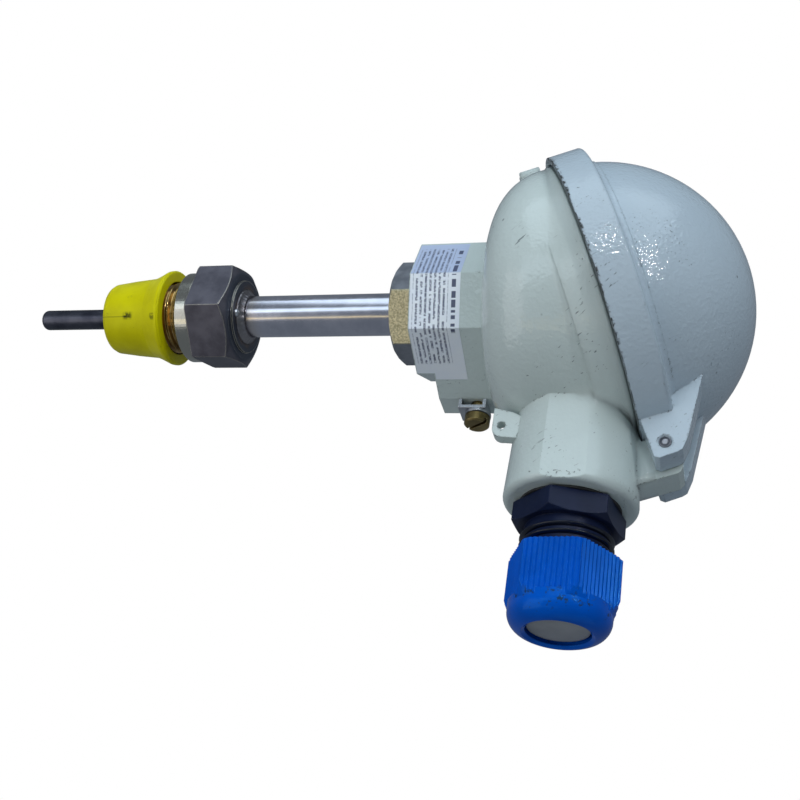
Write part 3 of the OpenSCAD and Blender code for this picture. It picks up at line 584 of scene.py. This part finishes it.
def weld_bead():
    """Fillet weld between the hexagon's raised disc and the tube, with its ripples."""
    inside = TUBE_RADIUS - SUNK
    section = [(inside, -0.1), (8.3, -0.08), (7.6, 0.35), (6.9, 0.8), (6.35, 1.5), (inside, 2.0)]
    ripples, ripple_share = 26, 0.018
    form = bmesh.new()
    points, edges = closed_outline(form, [(radius, DISC_TOP + rise) for radius, rise in section])
    bmesh.ops.spin(form, geom=points + edges, axis=(0, 0, 1), cent=(0, 0, 0), angle=math.tau, steps=120,
                   use_merge=True, use_duplicate=False)
    for vert in form.verts:
        turn = math.atan2(vert.co.y, vert.co.x)
        if vert.co.z > DISC_TOP:
            squeezed(vert, 1 + ripple_share * math.sin(ripples * turn + 2 * math.sin(3 * turn)))
    finished("weld_bead", form, weld_steel, "head")


def weld_pip():
    """Where the weld's arc was broken off."""
    reach, turn = 8.1, math.radians(-62)
    form = bmesh.new()
    bmesh.ops.create_uvsphere(form, u_segments=32, v_segments=20, radius=1.15)
    bmesh.ops.scale(form, vec=(1, 1, 0.75), verts=form.verts)
    bmesh.ops.translate(form, vec=(reach * math.cos(turn), reach * math.sin(turn), DISC_TOP + 0.1),
                        verts=form.verts)
    finished("weld_pip", form, plate_steel, "head")


def closing_lug_end():
    """Squares the outer end of the bowl's closing lug, whose solid is rounded."""
    form = bmesh.new()
    bmesh.ops.create_cube(form, size=1)
    bmesh.ops.scale(form, vec=(2.4, 11.8, 6.1), verts=form.verts)
    bmesh.ops.bevel(form, geom=list(form.edges), offset=0.5, affect="EDGES", segments=3, profile=0.5,
                    material=-1)
    bmesh.ops.translate(form, vec=(-52.5, 0, -3.25), verts=form.verts)
    bmesh.ops.rotate(form, verts=form.verts, cent=(0, 0, 0), matrix=Matrix.Rotation(-cover_tilt, 3, "Y"))
    bmesh.ops.translate(form, vec=rim_centre / MM, verts=form.verts)
    finished("closing_lug_end", form, paint, "head", smooth=False)


def ridge(form, radius, depth, pitch, turns, start):
    """Helical thread ridge: a closed section swept along a screw line on +Z.

    Half of the section is given, foot to crest: radii, with heights as shares of the pitch.
    """
    root = radius - depth
    half = [(root - 0.3, 0.42), (root, 0.42), (radius - 0.08 * depth, 0.09), (radius, 0.03)]
    section = [(r, -share * pitch) for r, share in half] + [(r, share * pitch) for r, share in reversed(half)]
    points, edges = closed_outline(form, [(r, start + height) for r, height in section])
    form.faces.new(points)
    steps = round(turns * 48)
    swept = bmesh.ops.spin(form, geom=points + edges, axis=(0, 0, 1), cent=(0, 0, 0), angle=math.tau * turns,
                           dvec=(0, 0, pitch * turns / steps), steps=steps, use_merge=False,
                           use_duplicate=False)
    form.faces.new([item for item in swept["geom_last"] if isinstance(item, bmesh.types.BMVert)])


def gland_thread():
    """The part of the gland's thread that shows between its hexagon and its nut."""
    form = bmesh.new()
    ridge(form, radius=11.45, depth=1.15, pitch=2.0, turns=2.6, start=GLAND_NUT_START - 5.8)
    bmesh.ops.rotate(form, verts=form.verts, cent=(0, 0, 0), matrix=Matrix.Rotation(math.radians(90), 3, "Y"))
    bmesh.ops.translate(form, verts=form.verts, vec=(0, 0, GLAND_HEIGHT))
    finished("gland_thread", form, navy_thread, "head")


def process_thread():
    """The process connection again, with a true thread in place of its plain cylinder."""
    undercut_top, undercut_foot = -0.05, -0.4
    form = bmesh.new()
    form.from_mesh(parts["process_connection"].data)
    bmesh.ops.scale(form, vec=(1 / MM, 1 / MM, 1 / MM), verts=form.verts)
    bmesh.ops.remove_doubles(form, verts=form.verts, dist=SAME_POINT)
    for height in (undercut_top, undercut_foot):
        bmesh.ops.bisect_plane(form, geom=list(form.verts) + list(form.edges) + list(form.faces), dist=1e-5,
                               plane_co=(0, 0, height), plane_no=(0, 0, 1), clear_inner=False,
                               clear_outer=False)
    for vert in form.verts:
        reach = math.hypot(vert.co.x, vert.co.y)
        if vert.co.z < undercut_foot + 0.1 and reach > THREAD_ROOT:
            squeezed(vert, THREAD_ROOT / reach)
    ridge(form, radius=THREAD_RADIUS, depth=THREAD_RADIUS - THREAD_ROOT + SUNK, pitch=THREAD_PITCH, turns=7.2,
          start=THREAD_FOOT + 1.0)
    piece = finished("process_thread", form, hexagon_steel, "head", smooth=False)
    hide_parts("process_connection")


def label():
    """Foil wrapped round three flats of the collar and over the earthing pad's side."""
    half = COLLAR_SIDE / 2
    pad = half - 0.25
    first, last = -6.8, 9.3
    front = COLLAR_APOTHEM + 0.05
    low, high, pad_low = COLLAR_FOOT + 0.25, COLLAR_FOOT + 14.0, COLLAR_FOOT + 5.2
    runs = [(COLLAR_TURN - 45, first, half), (COLLAR_TURN, -half, half), (COLLAR_TURN + 45, -half, pad),
            (COLLAR_TURN + 45, pad, last)]
    form = bmesh.new()
    wrap = form.loops.layers.uv.new("wrap")
    start = 0.0
    for degrees, begin, end in runs:
        turn = math.radians(degrees)
        out = Vector((math.sin(turn), -math.cos(turn), 0))
        side = Vector((math.cos(turn), math.sin(turn), 0))
        under = pad_low if begin > 0 else low
        corners = [(begin, under), (end, under), (end, high), (begin, high)]
        face = form.faces.new([form.verts.new(out * front + side * at + Vector((0, 0, height)))
                               for at, height in corners])
        for loop, (at, height) in zip(face.loops, corners):
            loop[wrap].uv = (start + at - begin, height - low)
        start += end - begin
    finished("label", form, label_foil, "head", smooth=False)


weld_bead()
weld_pip()
closing_lug_end()
gland_thread()
process_thread()
label()


# ---------------------------------------------------------------- studio, in metres
CENTRE = Vector((0.005, 0, 0.09))
CAMERA_PLACE = Vector((201.14, -266.24, 163.01)) * MM
CAMERA_RIGHT = Vector((-0.15784, 0.23784, 0.95839))
CAMERA_UP = Vector((-0.83879, -0.54445, -0.00302))
CAMERA_BACK = Vector((0.52108, -0.80437, 0.28543))
DAYLIGHT = (0.74, 0.89, 1.0)
LAMPLIGHT = (0.95, 0.98, 1.0)
NEUTRAL = (0.97, 0.98, 1.0)
WARM = (1.0, 0.80, 0.36)


def pale_floor():
    """White paper that the camera sees from above only, and that the light on the probe doesn't see."""
    form = bmesh.new()
    bmesh.ops.create_circle(form, cap_ends=True, segments=96, radius=30.0)
    mesh = bpy.data.meshes.new("floor")
    form.to_mesh(mesh)
    form.free()
    floor = bpy.data.objects.new("floor", mesh)
    bpy.context.scene.collection.objects.link(floor)
    mesh.transform(Matrix.Translation((0, 0, cad_box[0][2] - 1 * MM)))
    paper = bpy.data.materials.new("floor_paper")
    tree = Tree(paper)
    seen = tree.node("ShaderNodeLightPath", output="Is Camera Ray")
    seen = seen.math("SUBTRACT", seen, tree.node("ShaderNodeNewGeometry", output="Backfacing"), clamp=True)
    surface = tree.node("ShaderNodeMixShader", {}, (seen, tree.node("ShaderNodeBsdfTransparent"),
                                                    tree.node("ShaderNodeEmission")))
    tree.node("ShaderNodeOutputMaterial", {}, {"Surface": surface})
    mesh.materials.append(paper)


def soft_box(name, right, up, back, long_way, size, radiance, colour):
    """A lit panel that faces the probe from a metre away.

    Its direction is the sum of shares of the camera's right, up and back.
    """
    light = bpy.data.lights.new(name, "AREA")
    light.shape = "RECTANGLE"
    light.size, light.size_y = size
    light.energy = radiance * math.pi * size[0] * size[1]
    light.color = colour
    lamp = bpy.data.objects.new(name, light)
    bpy.context.scene.collection.objects.link(lamp)
    towards = (CAMERA_RIGHT * right + CAMERA_UP * up + CAMERA_BACK * back).normalized()
    across = (long_way - towards * long_way.dot(towards)).normalized()
    facing = Matrix((across, towards.cross(across), towards)).transposed().to_4x4()
    lamp.matrix_world = Matrix.Translation(CENTRE + towards) @ facing


def surroundings():
    """Dim bluish light from all round, which the camera itself sees as plain white."""
    world = bpy.data.worlds.new("studio")
    tree = Tree(world)
    dim = tree.node("ShaderNodeBackground", {}, {"Color": (0.76, 0.87, 1.0, 1), "Strength": 0.20})
    white = tree.node("ShaderNodeBackground", {}, {"Color": (1, 1, 1, 1), "Strength": 1.0})
    seen = tree.node("ShaderNodeLightPath", output="Is Camera Ray")
    surface = tree.node("ShaderNodeMixShader", {}, (seen, dim, white))
    tree.node("ShaderNodeOutputWorld", {}, {"Surface": surface})
    bpy.context.scene.world = world


def camera():
    data = bpy.data.cameras.new("camera")
    data.lens = 55.61
    data.sensor_width = 36
    data.clip_start = 0.005
    stand = bpy.data.objects.new("camera", data)
    bpy.context.scene.collection.objects.link(stand)
    turn = Matrix((CAMERA_RIGHT, CAMERA_UP, CAMERA_BACK)).transposed().to_4x4()
    stand.matrix_world = Matrix.Translation(CAMERA_PLACE) @ turn
    bpy.context.scene.camera = stand


pale_floor()
soft_box("sky_light", 0.1, 1.0, 0.25, CAMERA_RIGHT, (1.3, 0.9), 1.5, DAYLIGHT)
soft_box("window_light", -0.50, 0.50, 0.70, CAMERA_RIGHT, (0.55, 0.30), 1.5, DAYLIGHT)
soft_box("side_light", -0.90, 0.05, 0.42, CAMERA_UP, (0.9, 0.7), 1.15, NEUTRAL)
soft_box("band_lamp", -0.05, 0.69, 0.72, CAMERA_RIGHT, (0.13, 0.010), 260, LAMPLIGHT)
soft_box("dome_lamp", 0.45, 0.56, 0.69, CAMERA_UP, (0.40, 0.005), 260, LAMPLIGHT)
soft_box("wall_light", -0.5, -0.20, 0.75, CAMERA_RIGHT, (0.7, 0.09), 1.2, WARM)
soft_box("low_light", 0.2, -0.9, 0.5, CAMERA_RIGHT, (0.9, 0.6), 0.25, DAYLIGHT)
surroundings()
camera()
bpy.context.scene.view_settings.view_transform = "Standard"
